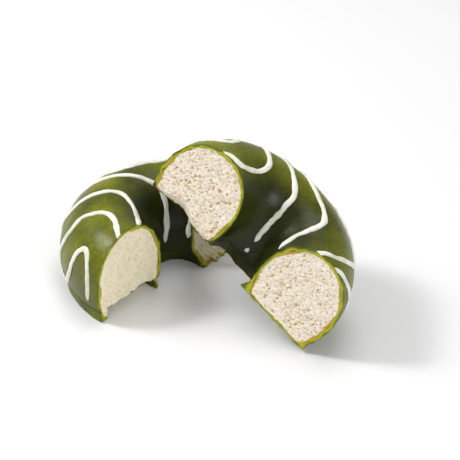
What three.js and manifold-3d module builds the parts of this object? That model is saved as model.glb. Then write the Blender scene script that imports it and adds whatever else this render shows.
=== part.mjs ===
// Ring doughnut with a green glaze and drizzled icing, cut straight across into two halves.
// One half lies flat on its base. The other leans on it, with one cut end raised.
// Millimetres, +Z up. The origin is on the resting plane, under the middle of the object.

import * as THREE from 'three';
import { mergeVertices } from 'three/addons/utils/BufferGeometryUtils.js';
import Module from 'manifold-3d';

const wasm = await Module();
wasm.setup();

// The ring's section: u runs outwards from the ring's centre line, z runs up from its base.
const RING_RADIUS = 30.4;
const HALF_WIDTH = 20;
const HEIGHT = 41;
const WAIST_HEIGHT = 17;
const CREASE_HALF_WIDTH = 17.6;
const CREASE_HEIGHT = 5;
const FOOT_HALF_WIDTH = 18;
const FOOT_HEIGHT = 4.4;

// The glaze coat and the dough inside it.
const GLAZE_THICKNESS = 1.3;
const BASE_GLAZE_THICKNESS = 0.8;
const DOUGH_BASE_HALF_WIDTH = 13.8;
const GAP = 0.3;

// The icing lines, each a low bead that tapers to thin ends.
const ICING_HALF_WIDTH = 1.45;
const ICING_HEIGHT = 0.95;
const ICING_TAPER_LENGTH = 5;
const ICING_END_SHARE = 0.45;
const ICING_STEP = 3.6;
const ICING_LIFT = GAP + 0.15;

// Torn crumb at the cut ends: a base lip that one half kept and the other half lost.
const LIP_HEIGHT = 7;
const LIP_LENGTH = 7.5;
const LIP_INNER = -21;
const LIP_OUTER = 21;
const TEAR_HEIGHT = 6.5;
const TEAR_LENGTH = 5;
const TEAR_INNER = -6;
const TEAR_OUTER = 14;

// How the two halves lie.
const LYING_TURN = THREE.MathUtils.degToRad(50.7);
const LYING_CENTRE = new THREE.Vector3(-24, -38.9, 0);
const LEANING_CENTRE = new THREE.Vector3(-1.7, -69.7, 25.4);
const LEAN_HEADING = THREE.MathUtils.degToRad(79.5);
const LEAN_ANGLE = THREE.MathUtils.degToRad(33.3);
const LEANING_TURN = THREE.MathUtils.degToRad(-109.3);

// Facets.
const RING_SEGMENTS = 48;
const GLAZE_STEP = 12;
const DOUGH_STEP = 15;

const GLAZE_FINISH = { color: 0x3f4a16, roughness: 0.35, metalness: 0 };
const DOUGH_FINISH = { color: 0xe6d3ae, roughness: 0.9, metalness: 0 };
const ICING_FINISH = { color: 0xf1ead8, roughness: 0.45, metalness: 0 };

// ---- The section ----------------------------------------------------------------------

// A point on the section at a tube angle in degrees: 0 is the outer waist, 90 the top,
// 180 the inner waist, and -90 and 270 the lower edges of the two sides.
function sectionPoint(tubeAngle, { inset, edgeHalfWidth, edgeHeight }) {
  const angle = THREE.MathUtils.degToRad(tubeAngle);
  const across = Math.cos(angle);
  const up = Math.sin(angle);
  const halfWidth = HALF_WIDTH - inset;
  if (up >= 0) {
    return new THREE.Vector2(halfWidth * across, WAIST_HEIGHT + (HEIGHT - WAIST_HEIGHT - inset) * up);
  }
  const side = tubeAngle > 90 ? -1 : 1;
  const width = edgeHalfWidth + (halfWidth - edgeHalfWidth) * Math.abs(across);
  return new THREE.Vector2(side * width, WAIST_HEIGHT + (WAIST_HEIGHT - edgeHeight) * up);
}

const GLAZE_SIDE = { inset: 0, edgeHalfWidth: CREASE_HALF_WIDTH, edgeHeight: CREASE_HEIGHT };

// The whole ring of a section, as a solid. The foot is the pooled glaze below the crease.
function ringSolid(side, angleStep, foot = []) {
  const outline = [];
  for (let angle = -90; angle <= 270; angle += angleStep) {
    outline.push(sectionPoint(angle, side));
  }
  outline.push(...foot, outline[0].clone());
  const profile = outline.map((point) => new THREE.Vector2(RING_RADIUS + point.x, point.y));
  const ring = new THREE.LatheGeometry(profile, RING_SEGMENTS);
  ring.rotateX(Math.PI / 2).rotateZ(Math.PI / RING_SEGMENTS);
  return solid(ring);
}

// ---- Solids ---------------------------------------------------------------------------

function solid(geometry) {
  const bare = new THREE.BufferGeometry();
  bare.setAttribute('position', geometry.getAttribute('position').clone());
  if (geometry.index) {
    bare.setIndex(geometry.index.clone());
  }
  const merged = mergeVertices(bare, 1e-4);
  return new wasm.Manifold(new wasm.Mesh({
    numProp: 3,
    vertProperties: Float32Array.from(merged.getAttribute('position').array),
    triVerts: Uint32Array.from(merged.index.array),
  }));
}

function meshOf(name, body, finish) {
  const { vertProperties, triVerts } = body.getMesh();
  const geometry = new THREE.BufferGeometry();
  geometry.setAttribute('position', new THREE.BufferAttribute(vertProperties, 3));
  geometry.setIndex(new THREE.BufferAttribute(triVerts, 1));
  const mesh = new THREE.Mesh(geometry, new THREE.MeshStandardMaterial(finish));
  mesh.name = name;
  return mesh;
}

function block(low, high) {
  const size = high.map((value, axis) => value - low[axis]);
  const centre = high.map((value, axis) => (value + low[axis]) / 2);
  return solid(new THREE.BoxGeometry(...size).translate(...centre));
}

// A wedge against the cut plane, from one x to another. Its tall face is on the plane and
// it thins to nothing at its length along Y, which may be negative. Its slope carries on
// below the base, and its tall face starts just across the plane, so that no edge of it
// lies in a face of the ring.
function wedge(xFrom, xTo, height, length) {
  const slope = height / length;
  const outline = new THREE.Shape([
    new THREE.Vector2(-0.1 * length, -1),
    new THREE.Vector2(length + 1 / slope, -1),
    new THREE.Vector2(-0.1 * length, height + 0.1 * height),
  ]);
  const prism = new THREE.ExtrudeGeometry(outline, { depth: xTo - xFrom, bevelEnabled: false });
  prism.rotateX(Math.PI / 2).rotateZ(Math.PI / 2).translate(xFrom, 0, 0);
  return solid(prism);
}

// ---- The coated ring ------------------------------------------------------------------

const glazeFoot = [
  new THREE.Vector2(-FOOT_HALF_WIDTH, FOOT_HEIGHT),
  new THREE.Vector2(-FOOT_HALF_WIDTH, 0),
  new THREE.Vector2(FOOT_HALF_WIDTH, 0),
  new THREE.Vector2(FOOT_HALF_WIDTH, FOOT_HEIGHT),
];
const hollow = {
  inset: GLAZE_THICKNESS,
  edgeHalfWidth: DOUGH_BASE_HALF_WIDTH + GAP,
  edgeHeight: BASE_GLAZE_THICKNESS,
};
const dough = {
  inset: GLAZE_THICKNESS + GAP,
  edgeHalfWidth: DOUGH_BASE_HALF_WIDTH,
  edgeHeight: BASE_GLAZE_THICKNESS + GAP,
};
const glazeRing = ringSolid(GLAZE_SIDE, GLAZE_STEP, glazeFoot).subtract(ringSolid(hollow, DOUGH_STEP));
const doughRing = ringSolid(dough, DOUGH_STEP);

// Each half keeps the side of the cut where Y is positive. Its ends are at +X and -X.
const reach = RING_RADIUS + HALF_WIDTH + 5;
const halfSpace = block([-reach, 0, -5], [reach, reach, HEIGHT + 5]);
const keptLip = wedge(RING_RADIUS + LIP_INNER, RING_RADIUS + LIP_OUTER, LIP_HEIGHT, -LIP_LENGTH);
const lostLip = wedge(-RING_RADIUS - LIP_OUTER, -RING_RADIUS - LIP_INNER, LIP_HEIGHT, LIP_LENGTH);
const frontTear = wedge(-RING_RADIUS - TEAR_OUTER, -RING_RADIUS - TEAR_INNER, TEAR_HEIGHT, TEAR_LENGTH);
const lyingRegion = halfSpace.add(keptLip).subtract(frontTear);
const leaningRegion = halfSpace.subtract(lostLip);

// ---- The icing ------------------------------------------------------------------------

// A point on the glaze, lifted off it, for a ring angle and a tube angle in degrees.
function onGlaze(ringAngle, tubeAngle, lift = 0) {
  const angle = THREE.MathUtils.degToRad(ringAngle);
  const here = sectionPoint(tubeAngle, GLAZE_SIDE);
  const along = sectionPoint(tubeAngle + 0.5, GLAZE_SIDE).sub(sectionPoint(tubeAngle - 0.5, GLAZE_SIDE));
  const outwards = new THREE.Vector2(along.y, -along.x).normalize();
  here.addScaledVector(outwards, lift);
  const radius = RING_RADIUS + here.x;
  return new THREE.Vector3(radius * Math.cos(angle), radius * Math.sin(angle), here.y);
}

// A bead of icing along a path of [ring angle, tube angle] points: a straight extrusion of
// its low section, which is then laid along the path on the glaze.
function icingBead(path) {
  const curve = new THREE.SplineCurve(path.map(([ring, tube]) => new THREE.Vector2(ring, tube)));
  const route = new THREE.CatmullRomCurve3(
    curve.getPoints(path.length * 4).map((point) => onGlaze(point.x, point.y)),
  );
  const length = route.getLength();
  const section = new THREE.Shape([
    new THREE.Vector2(-1, 0),
    new THREE.Vector2(1, 0),
    new THREE.Vector2(0.72, 0.7),
    new THREE.Vector2(0, 1),
    new THREE.Vector2(-0.72, 0.7),
  ]);
  const steps = Math.max(4, Math.round(length / ICING_STEP));
  const bead = new THREE.ExtrudeGeometry(section, { depth: 1, steps, bevelEnabled: false });
  const positions = bead.getAttribute('position');
  const vertex = new THREE.Vector3();
  for (let index = 0; index < positions.count; index += 1) {
    vertex.fromBufferAttribute(positions, index);
    const share = vertex.z;
    const centre = route.getPointAt(share);
    const forwards = route.getTangentAt(share);
    const up = glazeNormal(centre);
    const sideways = new THREE.Vector3().crossVectors(up, forwards).normalize();
    const fromEnd = Math.min(share, 1 - share) * length;
    const fullness = Math.min(1, ICING_END_SHARE + (1 - ICING_END_SHARE) * fromEnd / ICING_TAPER_LENGTH);
    centre.addScaledVector(up, ICING_LIFT + vertex.y * ICING_HEIGHT * fullness);
    centre.addScaledVector(sideways, vertex.x * ICING_HALF_WIDTH * fullness);
    positions.setXYZ(index, centre.x, centre.y, centre.z);
  }
  return solid(bead);
}

// The glaze's outward direction at a point on it.
function glazeNormal(point) {
  const fromAxis = new THREE.Vector2(point.x, point.y);
  const u = fromAxis.length() - RING_RADIUS;
  const rise = point.z - WAIST_HEIGHT;
  const semiHeight = rise >= 0 ? HEIGHT - WAIST_HEIGHT : WAIST_HEIGHT - CREASE_HEIGHT;
  const flatness = rise >= 0 ? 1 : (HALF_WIDTH - CREASE_HALF_WIDTH) / HALF_WIDTH;
  const outwards = u / HALF_WIDTH ** 2;
  const upwards = flatness * rise / semiHeight ** 2;
  fromAxis.normalize();
  return new THREE.Vector3(outwards * fromAxis.x, outwards * fromAxis.y, upwards).normalize();
}

// Paths of [ring angle, tube angle]. A path that runs past 0 or 180 is cut at the cut face.
const LYING_ICING = {
  lying_icing_front: [
    [172, -40], [173, 5], [170, 28], [165, 38], [161, 30], [158, 8], [153, -32], [148, -55],
    [143, -42], [141, -5], [145, 32], [144, 56], [147, 72], [151, 83], [159, 87], [168, 84],
    [176, 76], [184, 66],
  ],
  lying_icing_middle: [
    [186, 98], [179, 108], [165, 121], [147, 127], [132, 123], [122, 114], [119, 101], [121, 80],
    [125, 55], [128, 34], [125, 12], [119, 2], [113, 14], [109, 38], [104, 58], [98, 76],
    [90, 92], [80, 108], [71, 121], [65, 134], [64, 149], [67, 166], [70, 184], [71, 204],
  ],
  lying_icing_back: [
    [99, -24], [97, 12], [93, 46], [87, 67], [78, 75], [67, 77], [56, 79], [46, 72], [40, 52],
    [37, 22],
  ],
  lying_icing_inner: [[20, 140], [12, 150], [9, 160], [10, 172], [12, 190]],
};
const LEANING_ICING = {
  leaning_icing_top: [
    [172, 10], [170, 38], [167, 57], [161, 66], [154, 62], [149, 50], [147, 28], [146, 2],
  ],
  leaning_icing_left: [
    [186, 76], [178, 87], [175, 100], [167, 109], [154, 113], [142, 111], [134, 102], [132, 88],
    [132, 70], [131, 50], [127, 38], [121, 42], [118, 60], [113, 75], [108, 92], [102, 105],
    [96, 116], [93, 129], [92, 145], [91, 165], [90, 181], [88, 194],
  ],
  leaning_icing_right: [
    [18, 161], [28, 152], [37, 140], [41, 128], [45, 116], [52, 105], [62, 99], [73, 94],
    [84, 87], [94, 76], [101, 60], [102, 42], [96, 30], [86, 34], [77, 50], [68, 60], [56, 60],
    [45, 56], [34, 48], [27, 54], [17, 75], [10, 91], [4, 104], [-6, 112],
  ],
  leaning_icing_low: [[-6, 80], [2, 76], [5, 62], [8, 46], [11, 28], [13, 8]],
  leaning_icing_drip: [[87, 222], [89, 232], [92, 242]],
};

// ---- The two halves -------------------------------------------------------------------

function halfDoughnut(prefix, region, icing) {
  const half = new THREE.Group();
  half.add(meshOf(`${prefix}_dough`, doughRing.intersect(region), DOUGH_FINISH));
  half.add(meshOf(`${prefix}_glaze`, glazeRing.intersect(region), GLAZE_FINISH));
  for (const [name, path] of Object.entries(icing)) {
    half.add(meshOf(name, icingBead(path).intersect(halfSpace), ICING_FINISH));
  }
  return half;
}

const lying = halfDoughnut('lying_half', lyingRegion, LYING_ICING);
lying.position.copy(LYING_CENTRE);
lying.rotation.z = LYING_TURN;

// The leaning half is turned about its own axis, tipped, and then turned to its heading.
const leaning = halfDoughnut('leaning_half', leaningRegion, LEANING_ICING);
leaning.rotation.z = LEANING_TURN;
const tipped = new THREE.Group().add(leaning);
tipped.rotation.x = LEAN_ANGLE;
const headed = new THREE.Group().add(tipped);
headed.rotation.z = LEAN_HEADING;
headed.position.copy(LEANING_CENTRE);

const doughnut = new THREE.Group().add(lying, headed);

// The leaning half touches the resting plane, and the whole is centred over the origin.
const leaningBox = new THREE.Box3().setFromObject(headed, true);
headed.position.z -= leaningBox.min.z;
const box = new THREE.Box3().setFromObject(doughnut, true);
const middle = box.getCenter(new THREE.Vector3());
doughnut.position.set(-middle.x, -middle.y, 0);

export default doughnut;
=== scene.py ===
import math

import bmesh
import bpy
import numpy as np
from mathutils import Matrix, Vector, noise


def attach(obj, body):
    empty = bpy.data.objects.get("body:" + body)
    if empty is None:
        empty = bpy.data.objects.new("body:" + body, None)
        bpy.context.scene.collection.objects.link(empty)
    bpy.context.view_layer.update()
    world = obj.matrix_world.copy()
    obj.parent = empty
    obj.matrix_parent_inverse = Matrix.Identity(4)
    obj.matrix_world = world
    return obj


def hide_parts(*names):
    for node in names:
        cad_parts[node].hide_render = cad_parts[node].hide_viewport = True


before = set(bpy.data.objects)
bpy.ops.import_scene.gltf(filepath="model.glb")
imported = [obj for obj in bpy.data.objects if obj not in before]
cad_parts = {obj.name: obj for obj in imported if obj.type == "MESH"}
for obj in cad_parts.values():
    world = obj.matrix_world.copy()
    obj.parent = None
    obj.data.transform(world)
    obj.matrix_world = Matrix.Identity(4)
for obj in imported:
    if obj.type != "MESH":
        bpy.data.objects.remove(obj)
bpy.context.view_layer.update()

# ---- Camera, floor and light ----------------------------------------------------------
# The doughnut lies on a plain pale table and is seen from in front and above through a
# long lens. The light is a white studio: a bright surround and broad soft panels.

MM = 0.001

AIM = Vector((10.0, 41.9, 0.0)) * MM
CAMERA_DISTANCE = 718.8 * MM
CAMERA_ELEVATION = math.radians(33.92)
CAMERA_ROLL = math.radians(2.2)
LENS = 117.1
SENSOR_WIDTH = 36.0
NEAR_CLIP = 0.01

camera_data = bpy.data.cameras.new("camera")
camera_data.lens = LENS
camera_data.sensor_width = SENSOR_WIDTH
camera_data.clip_start = NEAR_CLIP
camera = bpy.data.objects.new("camera", camera_data)
bpy.context.scene.collection.objects.link(camera)
back = Vector((0.0, -math.cos(CAMERA_ELEVATION), math.sin(CAMERA_ELEVATION)))
level = Vector((1.0, 0.0, 0.0))
upright = back.cross(level)
right = level * math.cos(CAMERA_ROLL) + upright * math.sin(CAMERA_ROLL)
up = upright * math.cos(CAMERA_ROLL) - level * math.sin(CAMERA_ROLL)
turn = Matrix((right, up, back)).transposed().to_4x4()
camera.matrix_world = Matrix.Translation(AIM + back * CAMERA_DISTANCE) @ turn
bpy.context.scene.camera = camera

FLOOR_SIZE = 6.0
TABLE_COLOUR = (0.81, 0.81, 0.815, 1.0)
TABLE_ROUGHNESS = 0.6

pale_table = bpy.data.materials.new("pale_table")
pale_table.use_nodes = True
table_shader = pale_table.node_tree.nodes["Principled BSDF"]
table_shader.inputs["Base Color"].default_value = TABLE_COLOUR
table_shader.inputs["Roughness"].default_value = TABLE_ROUGHNESS
bpy.ops.object.select_all(action="DESELECT")
bpy.ops.mesh.primitive_plane_add(size=FLOOR_SIZE, location=(0.0, 0.0, 0.0))
floor = bpy.context.object
floor.name = "floor"
floor.data.materials.append(pale_table)

SURROUND_STRENGTH = 0.43

world = bpy.data.worlds.new("white_studio")
world.use_nodes = True
surround = world.node_tree.nodes["Background"]
surround.inputs["Color"].default_value = (1.0, 1.0, 1.0, 1.0)
surround.inputs["Strength"].default_value = SURROUND_STRENGTH
bpy.context.scene.world = world
bpy.context.scene.view_settings.view_transform = "Standard"

# Each panel has a place in metres, a width in metres and a power in watts.
LIGHT_PANELS = {
    "panel_left": ((-0.70, 0.10, 0.75), 0.32, 4.6),
    "panel_glint": ((-0.70, 0.06, 0.75), 0.13, 2.2),
    "panel_top": ((0.10, 0.35, 1.20), 0.7, 5.5),
    "panel_front_right": ((0.65, -0.95, 0.60), 0.5, 5.0),
}
for panel_name, (place, width, power) in LIGHT_PANELS.items():
    panel = bpy.data.objects.new(panel_name, bpy.data.lights.new(panel_name, "AREA"))
    panel.data.size = width
    panel.data.energy = power
    panel.location = place
    panel.rotation_euler = (-Vector(place)).to_track_quat("-Z", "Y").to_euler()
    bpy.context.scene.collection.objects.link(panel)


# ---- Glaze of the lying half ----------------------------------------------------------
# A coat of green glaze a little over a millimetre thick, poured over the fried ring and
# pooled into a sharp foot at its base. It is a spun shell, cut through with the ring.

RING_RADIUS = 30.4 * MM
HALF_WIDTH = 20.0 * MM
HEIGHT = 41.0 * MM
WAIST_HEIGHT = 17.0 * MM
CREASE_HALF_WIDTH = 17.6 * MM
CREASE_HEIGHT = 5.0 * MM
FOOT_HALF_WIDTH = 18.0 * MM
FOOT_HEIGHT = 4.2 * MM
GLAZE_THICKNESS = 1.35 * MM
DOUGH_BASE_HALF_WIDTH = 14.0 * MM
DOUGH_BASE_HEIGHT = 0.9 * MM
SECTION_ANGLES = range(-90, 271, 3)
SHELL_STEPS = 112
SHELL_POINTS = 132

LYING_PLACE = Matrix.Translation(Vector((-14.0, 3.0, 0.0)) * MM) @ Matrix.Rotation(
    math.radians(50.7), 4, "Z"
)


def section_point(tube_angle, inset=0.0, edge=(CREASE_HALF_WIDTH, CREASE_HEIGHT)):
    """A point of the ring's section: 0 outer waist, 90 top, 180 inner waist."""
    angle = math.radians(tube_angle)
    half_width = HALF_WIDTH - inset
    if math.sin(angle) >= 0.0:
        rise = (HEIGHT - WAIST_HEIGHT - inset) * math.sin(angle)
        return half_width * math.cos(angle), WAIST_HEIGHT + rise
    side = -1.0 if tube_angle > 90.0 else 1.0
    width = edge[0] + (half_width - edge[0]) * abs(math.cos(angle))
    return side * width, WAIST_HEIGHT + (WAIST_HEIGHT - edge[1]) * math.sin(angle)


def even_outline(corners, count):
    """Points at even spacing round a closed outline."""
    closed = np.array(corners + corners[:1])
    lengths = np.hypot(*np.diff(closed, axis=0).T)
    along = np.concatenate(([0.0], np.cumsum(lengths)))
    wanted = np.linspace(0.0, along[-1], count, endpoint=False)
    return np.stack([np.interp(wanted, along, closed[:, k]) for k in (0, 1)], axis=1)


def glaze_outline():
    """The outside of the glaze, down to the corners of its foot."""
    sides = [section_point(angle) for angle in SECTION_ANGLES]
    foot = FOOT_HALF_WIDTH
    return sides + [(-foot, FOOT_HEIGHT), (-foot, 0.0), (foot, 0.0), (foot, FOOT_HEIGHT)]


def dough_outline(inset):
    """The outside of the dough, set in from the outside of the glaze."""
    edge = (DOUGH_BASE_HALF_WIDTH + GLAZE_THICKNESS - inset, DOUGH_BASE_HEIGHT)
    return [section_point(angle, inset, edge) for angle in SECTION_ANGLES]


def add_outline(points):
    """A loop of the ring's section, standing on the cut plane at the ring's radius."""
    bpy.ops.object.select_all(action="DESELECT")
    bpy.ops.mesh.primitive_circle_add(vertices=len(points), radius=HALF_WIDTH)
    loop = bpy.context.object
    for vertex, (u, z) in zip(loop.data.vertices, points):
        vertex.co = (RING_RADIUS + u, 0.0, z)
    return loop


SAME_PLACE = 1e-7


def spin_half_turn(steps):
    """Spins the active loop half a turn round the ring's axis."""
    bpy.ops.object.mode_set(mode="EDIT")
    bpy.ops.mesh.select_all(action="SELECT")
    bpy.ops.mesh.spin(steps=steps, angle=-math.pi, center=(0, 0, 0), axis=(0, 0, 1))
    bpy.ops.mesh.select_all(action="SELECT")
    bpy.ops.mesh.remove_doubles(threshold=SAME_PLACE)
    bpy.ops.mesh.normals_make_consistent(inside=False)
    bpy.ops.object.mode_set(mode="OBJECT")


def ring_places(mesh):
    """Each vertex's place, ring angle, u and z in the half's own frame."""
    place = np.zeros(len(mesh.vertices) * 3)
    mesh.vertices.foreach_get("co", place)
    place = place.reshape(-1, 3)
    ring_angle = np.arctan2(place[:, 1], place[:, 0])
    u = np.hypot(place[:, 0], place[:, 1]) - RING_RADIUS
    return place, ring_angle, u, place[:, 2].copy()


SWELL_CELL = 26.0 * MM
SWELL_RISE = 0.55
DENT_CELL = 9.0 * MM
DENT_RISE = 0.13


def unevenness(place, seed):
    """Slow swells of hand-made dough, in metres along the outward direction."""
    swell = noise.noise(Vector(place) / SWELL_CELL + Vector((seed, 0.0, 0.0)))
    dent = noise.noise(Vector(place) / DENT_CELL + Vector((0.0, seed, 3.0)))
    return (SWELL_RISE * swell + DENT_RISE * dent) * MM


def outward(u, z, ring_angle):
    """The outward direction of the section at u and z, turned to its ring angle."""
    rise = (z - WAIST_HEIGHT) / (HEIGHT - WAIST_HEIGHT)
    across = u / HALF_WIDTH
    length = math.hypot(across, rise) or 1.0
    across, rise = across / length, rise / length
    return Vector((across * math.cos(ring_angle), across * math.sin(ring_angle), rise))


LYING_SEED = 3.0
LEANING_SEED = 8.0
BASE_FADE = 8.0 * MM
FULL_AT = 135.0
FULL_SPREAD = 40.0
FULL_OUT = 1.6 * MM


def fuller(ring_angle, u, seed):
    """How far the outer side of the lying half bulges past a true ring."""
    if seed != LYING_SEED:
        return Vector((0.0, 0.0, 0.0))
    off = (math.degrees(abs(ring_angle)) - FULL_AT) / FULL_SPREAD
    out = FULL_OUT * math.exp(-off * off) * min(1.0, max(0.0, u / HALF_WIDTH))
    return Vector((math.cos(ring_angle), math.sin(ring_angle), 0.0)) * out


def knead(mesh, seed):
    """Gives the ring its slow unevenness. The base stays flat."""
    place, ring_angle, u, z = ring_places(mesh)
    for index, vertex in enumerate(mesh.vertices):
        share = min(1.0, max(0.0, z[index] / BASE_FADE))
        move = outward(u[index], z[index], ring_angle[index])
        vertex.co += move * unevenness(place[index], seed) * share
        vertex.co += fuller(ring_angle[index], u[index], seed)


def move_to(piece, place):
    """Puts a half's piece where the half lies, in its mesh."""
    piece.data.transform(place)
    piece.data.update()


def volume_of(mesh):
    """The volume of a closed mesh, in cubic metres."""
    solid = bmesh.new()
    solid.from_mesh(mesh)
    volume = solid.calc_volume()
    solid.free()
    return volume


# The least share of a piece's volume that a cut leaves when it went well.
LEAST_LEFT = 0.8
# A separate bit with fewer faces than this is a scrap.
LOOSE_BIT_FACES = 400


def drop_loose_bits(mesh):
    """Deletes the small separate bits that a tear leaves behind."""
    solid = bmesh.new()
    solid.from_mesh(mesh)
    waiting = set(solid.faces)
    while waiting:
        bit = {waiting.pop()}
        frontier = list(bit)
        while frontier:
            face = frontier.pop()
            for edge in face.edges:
                for beside in edge.link_faces:
                    if beside in waiting:
                        waiting.remove(beside)
                        bit.add(beside)
                        frontier.append(beside)
        if len(bit) < LOOSE_BIT_FACES:
            bmesh.ops.delete(solid, geom=list(bit), context="FACES")
    solid.to_mesh(mesh)
    solid.free()


def tear_off(piece, cutter, touches_itself):
    """Takes the cutter's volume out of a piece, with the cutter's torn faces left on it.
    If a cut empties the piece it is made again with the thorough setting, and if that
    does too, the piece stays whole."""
    whole = piece.data
    for thorough in (touches_itself, True):
        piece.data = whole.copy()
        cut = piece.modifiers.new("cut", "BOOLEAN")
        cut.operation = "DIFFERENCE"
        cut.solver = "EXACT"
        cut.use_self = thorough
        cut.object = cutter
        bpy.ops.object.select_all(action="DESELECT")
        bpy.context.view_layer.objects.active = piece
        piece.select_set(True)
        bpy.ops.object.modifier_apply(modifier=cut.name)
        drop_loose_bits(piece.data)
        left = volume_of(piece.data) / volume_of(whole)
        if LEAST_LEFT < left < 1.0:
            return
    piece.data = whole


TORN_CUTS = 30
TORN_COARSE_CELL = 2.2 * MM
TORN_COARSE_RISE = 0.7
TORN_FINE_CELL = 0.8 * MM
TORN_FINE_RISE = 0.35
TORN_SEED = 4

# Without a seed of its own, noise_vector may differ from one run to the next.
noise.seed_set(TORN_SEED)


def torn_block(low, high, slope_y, seed, roughness, hump):
    """A block with torn faces. Its top falls by slope_y for each metre along +Y, and the
    hump, given as (x, spread, height), lifts it where the tear went deeper."""
    low, high = Vector(low) * MM, Vector(high) * MM
    size, centre = high - low, (high + low) / 2
    bpy.ops.object.select_all(action="DESELECT")
    bpy.ops.mesh.primitive_cube_add(size=1.0, location=(0, 0, 0))
    block = bpy.context.object
    bpy.ops.object.mode_set(mode="EDIT")
    bpy.ops.mesh.select_all(action="SELECT")
    bpy.ops.mesh.subdivide(number_cuts=TORN_CUTS)
    bpy.ops.object.mode_set(mode="OBJECT")
    for vertex in block.data.vertices:
        co = vertex.co
        co.x, co.y, co.z = co.x * size.x, co.y * size.y, co.z * size.z
        co += centre
        off_hump = (co.x / MM - hump[0]) / hump[1]
        lift = hump[2] * MM * math.exp(-off_hump * off_hump)
        top = high.z + lift - slope_y * (co.y - low.y)
        co.z = low.z + (co.z - low.z) * (top - low.z) / size.z
        coarse = noise.noise_vector(co / TORN_COARSE_CELL + Vector((seed, 0, 0)))
        fine = noise.noise_vector(co / TORN_FINE_CELL + Vector((0, seed, 0)))
        shift = coarse * TORN_COARSE_RISE + fine * TORN_FINE_RISE
        co += shift * roughness * MM
    return block


FOOT_SLOW_RUN = 1.1
FOOT_QUICK_RUN = 0.35
FOOT_RUN_TOP = 7.0 * MM
FOOT_RUN_START = 15.2 * MM


def foot_edge(ring_angle, side, seed):
    """How far the glaze's foot runs out past its usual edge, in metres."""
    slow = noise.noise(Vector((ring_angle * 2.3, side * 5.0, seed)))
    quick = noise.noise(Vector((ring_angle * 9.0, side * 5.0, seed + 7.0)))
    return (FOOT_SLOW_RUN * slow + FOOT_QUICK_RUN * quick) * MM


def shape_foot(mesh, seed, hole_runs):
    """Runs the pooled foot of the glaze in and out round both of its edges. The runs into
    the ring's hole are (ring angle, spread, distance)."""
    _, ring_angle, u, z = ring_places(mesh)
    inner = mesh.attributes["inner"].data
    for index, vertex in enumerate(mesh.vertices):
        on_foot = z[index] <= FOOT_RUN_TOP and abs(u[index]) >= FOOT_RUN_START
        if inner[index].value > 0.5 or not on_foot:
            continue
        side = 1.0 if u[index] > 0.0 else -1.0
        share = 1.0 - z[index] / FOOT_RUN_TOP
        run = foot_edge(ring_angle[index], side, seed) * share * side
        if side < 0.0:
            for at, spread, distance in hole_runs:
                away = (math.degrees(ring_angle[index]) - at) / spread
                run -= distance * MM * math.exp(-away * away) * share
        vertex.co.x += run * math.cos(ring_angle[index])
        vertex.co.y += run * math.sin(ring_angle[index])


FRAY_REACH = 2.2 * MM
FRAY_COARSE_CELL = 5.0 * MM
FRAY_FINE_CELL = 2.4 * MM


def fray_cut(mesh, seed):
    """Lifts and drags the glaze a little where the knife went through it."""
    place, ring_angle, u, z = ring_places(mesh)
    for index, vertex in enumerate(mesh.vertices):
        near = max(0.0, 1.0 - abs(place[index, 1]) / FRAY_REACH)
        if near <= 0.0:
            continue
        coarse = noise.noise(place[index] / FRAY_COARSE_CELL + np.array([seed, 0.0, 0.0]))
        fine = noise.noise(place[index] / FRAY_FINE_CELL + np.array([0.0, 0.0, seed]))
        lift = (0.5 * coarse + 0.35 * fine) * near * MM
        vertex.co += outward(u[index], z[index], ring_angle[index]) * lift
        vertex.co.y -= (0.3 * coarse + 0.35 * fine) * near * MM


CUT_REACH = 0.7 * MM
# Where the painted shade towards the ring's hole starts, and how wide it grows.
HOLE_SHADE_START = 5.0 * MM
HOLE_SHADE_WIDTH = 24.0 * MM


def mark(mesh, name, values):
    """Stores a number on each vertex, for the material."""
    stored = mesh.attributes.new(name, "FLOAT", "POINT")
    stored.data.foreach_set("value", np.clip(values, 0.0, 1.0).astype(np.float32))


def mark_glaze(mesh):
    """Marks the glaze near the knife's cut, and the glaze towards the ring's hole, which the
    material darkens there as painted shade."""
    place, _, u, _ = ring_places(mesh)
    mark(mesh, "cut", 1.0 - np.abs(place[:, 1]) / CUT_REACH)
    mark(mesh, "hole", (HOLE_SHADE_START - u) / HOLE_SHADE_WIDTH)


def glaze_shell(name, seed, hole_runs):
    """The glaze of one half as a closed shell with open ends, in its own frame."""
    outer = add_outline(even_outline(glaze_outline(), SHELL_POINTS))
    inner = add_outline(even_outline(dough_outline(GLAZE_THICKNESS), SHELL_POINTS))
    mark(outer.data, "inner", np.zeros(SHELL_POINTS))
    mark(inner.data, "inner", np.ones(SHELL_POINTS))
    bpy.ops.object.select_all(action="DESELECT")
    inner.select_set(True)
    outer.select_set(True)
    bpy.context.view_layer.objects.active = outer
    bpy.ops.object.join()
    outer.name = outer.data.name = name
    bpy.ops.object.mode_set(mode="EDIT")
    bpy.ops.mesh.select_all(action="SELECT")
    bpy.ops.mesh.bridge_edge_loops()
    bpy.ops.object.mode_set(mode="OBJECT")
    spin_half_turn(SHELL_STEPS)
    knead(outer.data, seed)
    shape_foot(outer.data, seed, hole_runs)
    mark_glaze(outer.data)
    fray_cut(outer.data, seed)
    return outer


def shade_smooth(piece, angle):
    """Shades a piece smooth, except at edges sharper than the angle."""
    bpy.ops.object.select_all(action="DESELECT")
    bpy.context.view_layer.objects.active = piece
    piece.select_set(True)
    bpy.ops.object.shade_smooth_by_angle(angle=math.radians(angle))


def node(tree, kind, inputs=(), **settings):
    """Adds a shader node, sets it and links what feeds it."""
    made = tree.nodes.new(kind)
    for key, value in settings.items():
        setattr(made, key, value)
    for key, value in dict(inputs).items():
        if isinstance(value, bpy.types.NodeSocket):
            tree.links.new(value, made.inputs[key])
        else:
            made.inputs[key].default_value = value
    return made


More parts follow.
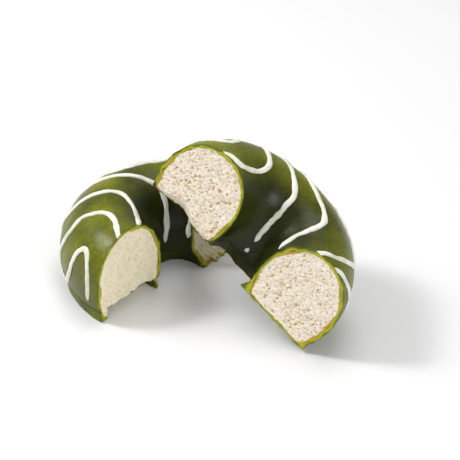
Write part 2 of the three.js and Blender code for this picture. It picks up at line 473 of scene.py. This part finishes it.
def ramp(tree, factor, stops):
    """A colour ramp with the given positions and colours."""
    made = node(tree, "ShaderNodeValToRGB", {"Fac": factor})
    elements = made.color_ramp.elements
    while len(elements) < len(stops):
        elements.new(0.5)
    for element, (position, colour) in zip(elements, stops):
        element.position = position
        element.color = (*colour, 1.0)
    return made.outputs["Color"]


def mix(tree, factor, first, second, blend="MIX"):
    """Two colours mixed, or multiplied."""
    made = node(tree, "ShaderNodeMixRGB", {"Fac": factor, "Color1": first, "Color2": second})
    made.blend_type = blend
    return made.outputs["Color"]


def glaze_material():
    """Deep green glaze: mottled, speckled, satin, darkened towards the ring's hole as painted
    shade, and bright yellow green where cut.
    """
    material = bpy.data.materials.new("green_glaze")
    material.use_nodes = True
    tree = material.node_tree
    shader = tree.nodes["Principled BSDF"]
    place = node(tree, "ShaderNodeTexCoord").outputs["Object"]
    cloud = node(
        tree, "ShaderNodeTexNoise", {"Vector": place, "Scale": 45.0, "Detail": 5.0}
    ).outputs["Fac"]
    body = ramp(tree, cloud, [
        (0.34, (0.062, 0.072, 0.002)),
        (0.50, (0.125, 0.138, 0.004)),
        (0.68, (0.210, 0.222, 0.008)),
    ])
    # Painted shade: the glaze is darkened towards the ring's hole, where the inner wall lies
    # in shade.
    hole = node(tree, "ShaderNodeAttribute", attribute_name="hole").outputs["Fac"]
    deep = ramp(tree, hole, [(0.15, (1.0, 1.0, 1.0)), (0.75, (0.18, 0.20, 0.25))])
    body = mix(tree, 1.0, body, deep, "MULTIPLY")
    speck = node(
        tree, "ShaderNodeTexNoise", {"Vector": place, "Scale": 900.0, "Detail": 3.0}
    ).outputs["Fac"]
    speck = ramp(tree, speck, [(0.42, (0.75, 0.75, 0.75)), (0.66, (1.25, 1.25, 1.2))])
    body = mix(tree, 0.6, body, speck, "MULTIPLY")
    cut = node(tree, "ShaderNodeAttribute", attribute_name="cut").outputs["Fac"]
    fray = node(
        tree, "ShaderNodeTexNoise", {"Vector": place, "Scale": 210.0, "Detail": 5.0}
    ).outputs["Fac"]
    inner = node(tree, "ShaderNodeAttribute", attribute_name="inner").outputs["Fac"]
    fray = node(tree, "ShaderNodeMapRange", {0: fray, 1: 0.3, 2: 0.7, 3: -0.35, 4: 0.35})
    across = node(
        tree, "ShaderNodeMath", {0: inner, 1: fray.outputs[0]}, operation="ADD"
    ).outputs[0]
    bright = ramp(tree, across, [
        (0.05, (0.09, 0.12, 0.004)),
        (0.40, (0.26, 0.30, 0.008)),
        (0.75, (0.46, 0.46, 0.015)),
        (1.00, (0.40, 0.32, 0.015)),
    ])
    edge = ramp(tree, cut, [(0.25, (0.0, 0.0, 0.0)), (0.85, (1.0, 1.0, 1.0))])
    colour = mix(tree, edge, body, bright)
    tree.links.new(colour, shader.inputs["Base Color"])
    wet = ramp(tree, cloud, [(0.3, (0.25, 0.25, 0.25)), (0.7, (0.43, 0.43, 0.43))])
    rough = mix(tree, edge, wet, (0.5, 0.5, 0.5, 1.0))
    tree.links.new(rough, shader.inputs["Roughness"])
    peel = node(
        tree, "ShaderNodeTexNoise", {"Vector": place, "Scale": 260.0, "Detail": 4.0}
    ).outputs["Fac"]
    relief = node(
        tree, "ShaderNodeBump", {"Height": peel, "Strength": 0.35, "Distance": 0.0005}
    )
    grain = node(
        tree,
        "ShaderNodeBump",
        {"Height": speck, "Strength": 0.3, "Distance": 0.0002,
         "Normal": relief.outputs["Normal"]},
    )
    tree.links.new(grain.outputs["Normal"], shader.inputs["Normal"])
    shader.inputs["Specular IOR Level"].default_value = 0.24
    shader.inputs["Subsurface Weight"].default_value = 0.08
    shader.inputs["Subsurface Radius"].default_value = (0.8, 1.0, 0.2)
    shader.inputs["Subsurface Scale"].default_value = 0.001
    return material


LIP_HEIGHT = 7.5 * MM
LIP_LENGTH = 5.5 * MM
LIP_REACH = 3.0 * MM


def pull_lip(mesh, seed):
    """Draws the base out past the cut at the end where the other half left its base."""
    place, _, _, z = ring_places(mesh)
    for index, vertex in enumerate(mesh.vertices):
        height = LIP_HEIGHT * (1.0 + 0.35 * noise.noise(place[index] / (2.5 * MM)))
        near = 1.0 - abs(place[index, 1]) / LIP_REACH
        if place[index, 0] < 0.0 or near <= 0.0 or z[index] > height:
            continue
        ragged = 1.0 + 0.6 * noise.noise(place[index] / (2.0 * MM) + np.array([seed, 0, 0]))
        vertex.co.y -= LIP_LENGTH * near * (1.0 - z[index] / height) ** 0.7 * ragged


green_glaze = glaze_material()
lying_glaze = glaze_shell("lying_glaze_coat", LYING_SEED, hole_runs=[(90, 40, 1.0)])
pull_lip(lying_glaze.data, 1.0)
front_tear = torn_block(
    low=(-44.9, -4.0, -3.0), high=(-13.9, 6.5, 9.3), slope_y=0.85,
    seed=5.0, roughness=1.3, hump=(-22.0, 6.0, 1.5),
)
tear_off(lying_glaze, front_tear, touches_itself=True)
move_to(lying_glaze, LYING_PLACE)
shade_smooth(lying_glaze, 40.0)
lying_glaze.data.materials.clear()
lying_glaze.data.materials.append(green_glaze)
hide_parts("lying_half_glaze")
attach(lying_glaze, "root")


# ---- Dough of the lying half ----------------------------------------------------------
# Fried dough, one baked piece: a close cream crumb inside and a thin brown crust under
# the glaze. The cut faces are a fine mesh with real pores pressed into it.

DOUGH_GAP = 0.12 * MM
DOUGH_POINTS = 240
DOUGH_STEPS = 44
FACE_CUTS = 2
ON_PLANE = 1e-6


def crumb_face(piece, is_end):
    """Closes one open end of the dough with a fine grid of faces."""
    bpy.ops.object.select_all(action="DESELECT")
    bpy.context.view_layer.objects.active = piece
    piece.select_set(True)
    bpy.ops.object.mode_set(mode="EDIT")
    bpy.ops.mesh.select_mode(type="VERT")
    bpy.ops.mesh.select_all(action="DESELECT")
    bpy.ops.object.mode_set(mode="OBJECT")
    for vertex in piece.data.vertices:
        vertex.select = is_end(vertex.co)
    bpy.ops.object.mode_set(mode="EDIT")
    bpy.ops.mesh.fill_grid(span=DOUGH_POINTS // 4)
    bpy.ops.mesh.subdivide(number_cuts=FACE_CUTS)
    bpy.ops.object.mode_set(mode="OBJECT")


def inside_crust(mesh, outline):
    """Each vertex's distance from the outline of the section."""
    _, _, u, z = ring_places(mesh)
    nearest = np.full(len(u), 1.0)
    for edge_u, edge_z in outline:
        nearest = np.minimum(nearest, np.hypot(u - edge_u, z - edge_z))
    return nearest


FINEST_PORE = 0.22
GRAIN_FINE_CELL = 0.50 * MM
GRAIN_FINE_RISE = 0.24
GRAIN_COARSE_CELL = 1.2 * MM
GRAIN_COARSE_RISE = 0.26
FACE_SWELL_CELL = 4.5 * MM
FACE_SWELL_RISE = 0.35
CRUST_FADE = 1.6 * MM
FACE_SETBACK = 0.15 * MM
PORE_DEEPEST = 0.75 * MM
LEAST_FADE = 0.15
FLAT_MARK = 0.25


def press_pores(mesh, outline, seed, count, depth_share, coarse, grain_share):
    """Presses pores and grain into both cut faces and stores how deep each vertex went.
    Both fade out at the crust."""
    rng = np.random.default_rng(seed)
    place = ring_places(mesh)[0]
    on_cut = np.abs(place[:, 1]) < ON_PLANE
    deep = np.zeros(len(place))
    for side in (-1.0, 1.0):
        chosen = np.where(on_cut & (place[:, 0] * side > 0.0))[0]
        flat = place[chosen][:, (0, 2)]
        centre_u = rng.uniform(-19.0, 19.0, count) * MM
        centre_z = rng.uniform(1.0, 40.0, count) * MM
        radius = np.clip(rng.lognormal(-1.05, 0.38, count), FINEST_PORE, coarse) * MM
        stretch = rng.uniform(0.65, 1.0, count)
        angle = rng.uniform(0.0, math.pi, count)
        for k in range(count):
            away_x = flat[:, 0] - side * (RING_RADIUS + centre_u[k])
            away_z = flat[:, 1] - centre_z[k]
            near = np.abs(away_x) + np.abs(away_z) < 3.0 * radius[k]
            if not near.any():
                continue
            along = away_x[near] * math.cos(angle[k]) + away_z[near] * math.sin(angle[k])
            across = away_z[near] * math.cos(angle[k]) - away_x[near] * math.sin(angle[k])
            spread = np.hypot(along * stretch[k], across) / radius[k]
            pit = np.clip(1.0 - spread**2, 0.0, 1.0) * radius[k] * depth_share
            here = chosen[near]
            deep[here] = np.maximum(deep[here], pit)
    fade = np.clip(inside_crust(mesh, outline) / CRUST_FADE, LEAST_FADE, 1.0)
    for index in np.where(on_cut)[0]:
        spot = Vector(place[index])
        fine = noise.noise(spot / GRAIN_FINE_CELL + Vector((seed, 0, 0)))
        rough = noise.noise(spot / GRAIN_COARSE_CELL + Vector((0, 0, seed)))
        grain = fine * GRAIN_FINE_RISE + rough * GRAIN_COARSE_RISE
        deep[index] += grain * grain_share * MM
        swell = noise.noise(spot / FACE_SWELL_CELL + Vector((0, seed, 0))) * FACE_SWELL_RISE
        moved = (deep[index] + swell * MM) * fade[index]
        mesh.vertices[index].co.y += moved + FACE_SETBACK
    # The stored depth darkens the crumb in its pores and grain as painted shade.
    mark(mesh, "pore", FLAT_MARK + deep / PORE_DEEPEST)


def face_outwards():
    """Turns the faces of the active piece outwards."""
    bpy.ops.object.mode_set(mode="EDIT")
    bpy.ops.mesh.select_all(action="SELECT")
    bpy.ops.mesh.normals_make_consistent(inside=False)
    bpy.ops.object.mode_set(mode="OBJECT")


CRUST_DEPTH = 2.0 * MM


def dough_half(name, tear, seed, glaze_seed, pores, depth_share, coarse, grain_share):
    """The dough of one half: torn first, then pressed with pores, then kneaded."""
    outline = even_outline(dough_outline(GLAZE_THICKNESS + DOUGH_GAP), DOUGH_POINTS)
    loop = add_outline(outline)
    loop.name = loop.data.name = name
    spin_half_turn(DOUGH_STEPS)
    crumb_face(loop, lambda co: abs(co.y) < ON_PLANE and co.x > 0.0)
    crumb_face(loop, lambda co: abs(co.y) < ON_PLANE and co.x < 0.0)
    face_outwards()
    tear_off(loop, tear, touches_itself=False)
    press_pores(loop.data, outline, seed, pores, depth_share, coarse, grain_share)
    mark(loop.data, "crust", 1.0 - inside_crust(loop.data, outline) / CRUST_DEPTH)
    knead(loop.data, glaze_seed)
    face_outwards()
    return loop


def crumb_material(name, pale, warm, pit):
    """Crumb: pale and matte, darker and warmer in its pores as painted shade, with a thin
    brown crust at its rim.
    """
    material = bpy.data.materials.new(name)
    material.use_nodes = True
    tree = material.node_tree
    shader = tree.nodes["Principled BSDF"]
    place = node(tree, "ShaderNodeTexCoord").outputs["Object"]
    cloud = node(
        tree, "ShaderNodeTexNoise", {"Vector": place, "Scale": 260.0, "Detail": 6.0}
    ).outputs["Fac"]
    depth = node(tree, "ShaderNodeAttribute", attribute_name="pore").outputs["Fac"]
    # Painted shade: the deeper a vertex lies in a pore or the grain, the darker and warmer
    # its colour.
    body = ramp(tree, depth, [(0.10, pale), (0.45, warm), (0.95, pit)])
    blotch = ramp(tree, cloud, [(0.35, (0.93, 0.91, 0.86)), (0.65, (1.0, 1.0, 1.0))])
    body = mix(tree, 1.0, body, blotch, "MULTIPLY")
    cell = node(
        tree, "ShaderNodeTexVoronoi", {"Vector": place, "Scale": 900.0}
    ).outputs["Distance"]
    shade = ramp(tree, cell, [(0.05, (0.86, 0.82, 0.74)), (0.45, (1.0, 1.0, 1.0))])
    body = mix(tree, 0.7, body, shade, "MULTIPLY")
    crust = node(tree, "ShaderNodeAttribute", attribute_name="crust").outputs["Fac"]
    wander = node(
        tree, "ShaderNodeTexNoise", {"Vector": place, "Scale": 95.0, "Detail": 5.0}
    ).outputs["Fac"]
    wander = node(tree, "ShaderNodeMapRange", {0: wander, 1: 0.36, 2: 0.64}).outputs[0]
    rim = node(tree, "ShaderNodeMath", {0: crust, 1: wander}, operation="ADD").outputs[0]
    rim_colour = ramp(tree, wander, [(0.45, (0.40, 0.38, 0.02)), (0.9, (0.50, 0.34, 0.06))])
    rim = node(tree, "ShaderNodeMapRange", {0: rim, 1: 1.28, 2: 1.44}).outputs[0]
    body = mix(tree, rim, body, rim_colour)
    tree.links.new(body, shader.inputs["Base Color"])
    shader.inputs["Roughness"].default_value = 0.9
    shader.inputs["Specular IOR Level"].default_value = 0.2
    shader.inputs["Subsurface Weight"].default_value = 0.25
    shader.inputs["Subsurface Radius"].default_value = (1.0, 0.8, 0.5)
    shader.inputs["Subsurface Scale"].default_value = 0.0012
    relief = node(
        tree, "ShaderNodeBump", {"Height": cell, "Strength": 0.35, "Distance": 0.0003}
    )
    tree.links.new(relief.outputs["Normal"], shader.inputs["Normal"])
    return material


lying_dough = dough_half(
    "lying_dough_crumb", front_tear, seed=11, glaze_seed=LYING_SEED,
    pores=420, depth_share=0.7, coarse=0.6, grain_share=0.8,
)
pull_lip(lying_dough.data, 1.0)
move_to(lying_dough, LYING_PLACE)
shade_smooth(lying_dough, 60.0)
# The pit colour is painted shade deep in the pores.
cream_crumb = crumb_material(
    "cream_crumb", pale=(0.91, 0.85, 0.68), warm=(0.85, 0.77, 0.55), pit=(0.74, 0.61, 0.30)
)
lying_dough.data.materials.clear()
lying_dough.data.materials.append(cream_crumb)
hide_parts("lying_half_dough")
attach(lying_dough, "root")


# ---- Icing on the lying half ----------------------------------------------------------
# Thin off-white icing, drizzled back and forth over the ring from a spoon. Each line is
# one low bead with a wandering width, and it stops where the knife cut it.

ICING_HALF_WIDTH = 1.25 * MM
ICING_HEIGHT = 0.75 * MM
ICING_DEPTH = 0.35 * MM
ICING_CLEAR = 0.1 * MM
ICING_TAPER = 3.5 * MM
ICING_RING_STEP = 0.6 * MM
ICING_DRIFT = 0.5 * MM
PATH_STEPS = 400

# Each line's points are (ring angle, tube angle) in degrees, in the order it was poured.
LYING_ICING = {
    "lying_icing_front": [
        (172, -40), (173, 5), (170, 28), (165, 38), (161, 30), (158, 8), (153, -32),
        (148, -55), (143, -42), (141, -5), (145, 32), (144, 56), (147, 72), (151, 83),
        (159, 87), (168, 84), (176, 76), (184, 66),
    ],
    "lying_icing_middle": [
        (186, 98), (179, 108), (165, 121), (147, 127), (132, 123), (122, 114), (119, 101),
        (121, 80), (125, 55), (128, 34), (125, 12), (119, 2), (113, 14), (109, 38),
        (104, 58), (98, 76), (90, 92), (80, 108), (71, 121), (65, 134), (64, 149),
        (67, 166), (70, 184), (71, 204),
    ],
    "lying_icing_back": [
        (99, -24), (97, 12), (93, 46), (87, 67), (78, 75), (67, 77), (56, 79), (46, 72),
        (40, 52), (37, 22),
    ],
    "lying_icing_inner": [(20, 140), (12, 150), (9, 160), (10, 172), (12, 190)],
}


def smooth_path(path, share):
    """A point of a smooth line through the path's points, at a share of its length."""
    place = share * (len(path) - 1)
    start = min(int(place), len(path) - 2)
    t = place - start
    picked = [path[min(max(start + k, 0), len(path) - 1)] for k in (-1, 0, 1, 2)]
    result = []
    for before, here, after, beyond in zip(*picked):
        result.append(
            0.5 * (2 * here + (after - before) * t
                   + (2 * before - 5 * here + 4 * after - beyond) * t**2
                   + (3 * here - before - 3 * after + beyond) * t**3)
        )
    return result


def on_glaze(ring_angle, tube_angle, seed):
    """The point and outward direction of the kneaded glaze at the two angles."""
    turn_angle = math.radians(ring_angle)
    u, z = section_point(tube_angle)
    radius = RING_RADIUS + u
    place = Vector((radius * math.cos(turn_angle), radius * math.sin(turn_angle), z))
    away = outward(u, z, turn_angle)
    share = min(1.0, max(0.0, z / BASE_FADE))
    uneven = away * unevenness(place, seed) * share
    return place + uneven + fuller(turn_angle, u, seed), away


def icing_bead(name, path, seed):
    """Lays one bead along its path on the glaze."""
    fine = [on_glaze(*smooth_path(path, k / PATH_STEPS), seed) for k in range(PATH_STEPS + 1)]
    along = [0.0]
    for (before, _), (after, _) in zip(fine, fine[1:]):
        along.append(along[-1] + (after - before).length)
    length = along[-1]
    rings = max(12, int(length / ICING_RING_STEP))
    bpy.ops.object.select_all(action="DESELECT")
    bpy.ops.mesh.primitive_cylinder_add(vertices=16, radius=1.0, depth=1.0)
    bead = bpy.context.object
    bead.name = bead.data.name = name
    bpy.ops.object.mode_set(mode="EDIT")
    bpy.ops.mesh.select_mode(type="EDGE")
    bpy.ops.mesh.select_all(action="DESELECT")
    bpy.ops.object.mode_set(mode="OBJECT")
    for edge in bead.data.edges:
        first, second = (bead.data.vertices[k].co for k in edge.vertices)
        edge.select = abs(first.z - second.z) > 0.5
    bpy.ops.object.mode_set(mode="EDIT")
    bpy.ops.mesh.subdivide(number_cuts=rings)
    bpy.ops.object.mode_set(mode="OBJECT")
    for vertex in bead.data.vertices:
        share = vertex.co.z + 0.5
        distance = share * length
        place = float(np.interp(distance, along, range(PATH_STEPS + 1)))
        low = min(int(place), PATH_STEPS - 1)
        here = fine[low][0].lerp(fine[low + 1][0], place - low)
        away = fine[low][1].lerp(fine[low + 1][1], place - low).normalized()
        ahead = (fine[min(low + 2, PATH_STEPS)][0] - fine[max(low - 1, 0)][0]).normalized()
        sideways = away.cross(ahead).normalized()
        from_end = min(distance, length - distance)
        end = math.sqrt(min(1.0, 0.1 + from_end / ICING_TAPER))
        slow = noise.noise(Vector((distance / (7.0 * MM), seed, len(path))))
        quick = noise.noise(Vector((distance / (2.0 * MM), seed, 9.0)))
        width = ICING_HALF_WIDTH * end * (1.0 + 0.5 * slow + 0.25 * quick)
        height = ICING_HEIGHT * end * (1.0 + 0.25 * slow)
        drift = ICING_DRIFT * noise.noise(Vector((distance / (5.0 * MM), 4.0, seed)))
        rise = vertex.co.y * (height if vertex.co.y > 0.0 else ICING_DEPTH) + ICING_CLEAR
        vertex.co = here + sideways * (vertex.co.x * width + drift) + away * rise
    return bead


def icing_material():
    """Off-white sugar icing: slightly warm, waxy, with thinner greenish edges."""
    material = bpy.data.materials.new("white_icing")
    material.use_nodes = True
    tree = material.node_tree
    shader = tree.nodes["Principled BSDF"]
    place = node(tree, "ShaderNodeTexCoord").outputs["Object"]
    cloud = node(
        tree, "ShaderNodeTexNoise", {"Vector": place, "Scale": 150.0, "Detail": 4.0}
    ).outputs["Fac"]
    colour = ramp(tree, cloud, [(0.35, (0.62, 0.64, 0.50)), (0.55, (0.83, 0.82, 0.74))])
    tree.links.new(colour, shader.inputs["Base Color"])
    wax = ramp(tree, cloud, [(0.3, (0.32, 0.32, 0.32)), (0.7, (0.5, 0.5, 0.5))])
    tree.links.new(wax, shader.inputs["Roughness"])
    fine = node(
        tree, "ShaderNodeTexNoise", {"Vector": place, "Scale": 700.0, "Detail": 3.0}
    ).outputs["Fac"]
    relief = node(
        tree, "ShaderNodeBump", {"Height": fine, "Strength": 0.2, "Distance": 0.0002}
    )
    tree.links.new(relief.outputs["Normal"], shader.inputs["Normal"])
    shader.inputs["Subsurface Weight"].default_value = 0.15
    shader.inputs["Subsurface Radius"].default_value = (1.0, 1.0, 0.6)
    shader.inputs["Subsurface Scale"].default_value = 0.0008
    return material


def trim_at_cut(piece):
    """Cuts a bead off at the knife's plane and closes its end."""
    bpy.ops.object.select_all(action="DESELECT")
    bpy.context.view_layer.objects.active = piece
    piece.select_set(True)
    bpy.ops.object.mode_set(mode="EDIT")
    bpy.ops.mesh.select_all(action="SELECT")
    bpy.ops.mesh.bisect(
        plane_co=(0, ICING_CLEAR, 0), plane_no=(0, -1, 0), use_fill=True, clear_outer=True
    )
    bpy.ops.mesh.select_all(action="SELECT")
    bpy.ops.mesh.normals_make_consistent(inside=False)
    bpy.ops.object.mode_set(mode="OBJECT")


def drizzle(lines, seed, place):
    """Lays every line of icing on one half."""
    for node_name, path in lines.items():
        bead = icing_bead(node_name + "_line", path, seed)
        trim_at_cut(bead)
        move_to(bead, place)
        shade_smooth(bead, 50.0)
        bead.data.materials.clear()
        bead.data.materials.append(white_icing)
        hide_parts(node_name)
        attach(bead, "root")


white_icing = icing_material()
drizzle(LYING_ICING, LYING_SEED, LYING_PLACE)


# ---- Glaze of the leaning half --------------------------------------------------------
# The same coat on the other half, which is turned, tipped up and leant on the first.
# Its raised end has lost the base of the ring, which stayed on the lying half.

LEANING_PLACE = (
    Matrix.Translation(Vector((8.3, -27.78, 26.53)) * MM)
    @ Matrix.Rotation(math.radians(79.5), 4, "Z")
    @ Matrix.Rotation(math.radians(33.3), 4, "X")
    @ Matrix.Rotation(math.radians(-109.3), 4, "Z")
)

leaning_glaze = glaze_shell(
    "leaning_glaze_coat", LEANING_SEED, hole_runs=[(84, 34, 4.2), (36, 12, -1.6), (2, 9, 2.8)]
)
raised_tear = torn_block(
    low=(-56.0, -4.0, -8.0), high=(-6.0, 9.0, 8.0), slope_y=0.95,
    seed=2.0, roughness=1.4, hump=(-33.0, 8.0, 4.0),
)
tear_off(leaning_glaze, raised_tear, touches_itself=True)
move_to(leaning_glaze, LEANING_PLACE)
shade_smooth(leaning_glaze, 40.0)
leaning_glaze.data.materials.clear()
leaning_glaze.data.materials.append(green_glaze)
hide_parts("leaning_half_glaze")
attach(leaning_glaze, "root")


# ---- Dough of the leaning half --------------------------------------------------------
# The same fried dough, but its crumb is more open: larger pores, and a paler, rosier
# colour. The raised end is torn off short at its base.

leaning_dough = dough_half(
    "leaning_dough_crumb", raised_tear, seed=23, glaze_seed=LEANING_SEED,
    pores=1100, depth_share=0.9, coarse=1.1, grain_share=1.0,
)
move_to(leaning_dough, LEANING_PLACE)
shade_smooth(leaning_dough, 60.0)
# The pit colour is painted shade deep in the pores.
rosy_crumb = crumb_material(
    "rosy_crumb", pale=(0.93, 0.86, 0.77), warm=(0.84, 0.74, 0.61), pit=(0.70, 0.55, 0.30)
)
leaning_dough.data.materials.clear()
leaning_dough.data.materials.append(rosy_crumb)
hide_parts("leaning_half_dough")
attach(leaning_dough, "root")


# ---- Icing on the leaning half --------------------------------------------------------
# The same drizzle, which ran on across the cut before the ring was parted.

LEANING_ICING = {
    "leaning_icing_top": [
        (172, 10), (170, 38), (167, 57), (161, 66), (154, 62), (149, 50), (147, 28), (146, 2),
    ],
    "leaning_icing_left": [
        (186, 76), (178, 87), (175, 100), (167, 109), (154, 113), (142, 111), (134, 102),
        (132, 88), (132, 70), (131, 50), (127, 38), (121, 42), (118, 60), (113, 75),
        (108, 92), (102, 105), (96, 116), (93, 129), (92, 145), (91, 165), (90, 181),
        (88, 194),
    ],
    "leaning_icing_right": [
        (18, 161), (28, 152), (37, 140), (41, 128), (45, 116), (52, 105), (62, 99),
        (73, 94), (84, 87), (94, 76), (101, 60), (102, 42), (96, 30), (86, 34), (77, 50),
        (68, 60), (56, 60), (45, 56), (34, 48), (27, 54), (17, 75), (10, 91), (4, 104),
        (-6, 112),
    ],
    "leaning_icing_low": [(-6, 80), (2, 76), (5, 62), (8, 46), (11, 28), (13, 8)],
    "leaning_icing_drip": [(87, 222), (89, 232), (92, 242)],
}
drizzle(LEANING_ICING, LEANING_SEED, LEANING_PLACE)

# The torn blocks were only tools, so they are taken away.
for cutter in (front_tear, raised_tear):
    bpy.data.objects.remove(cutter)
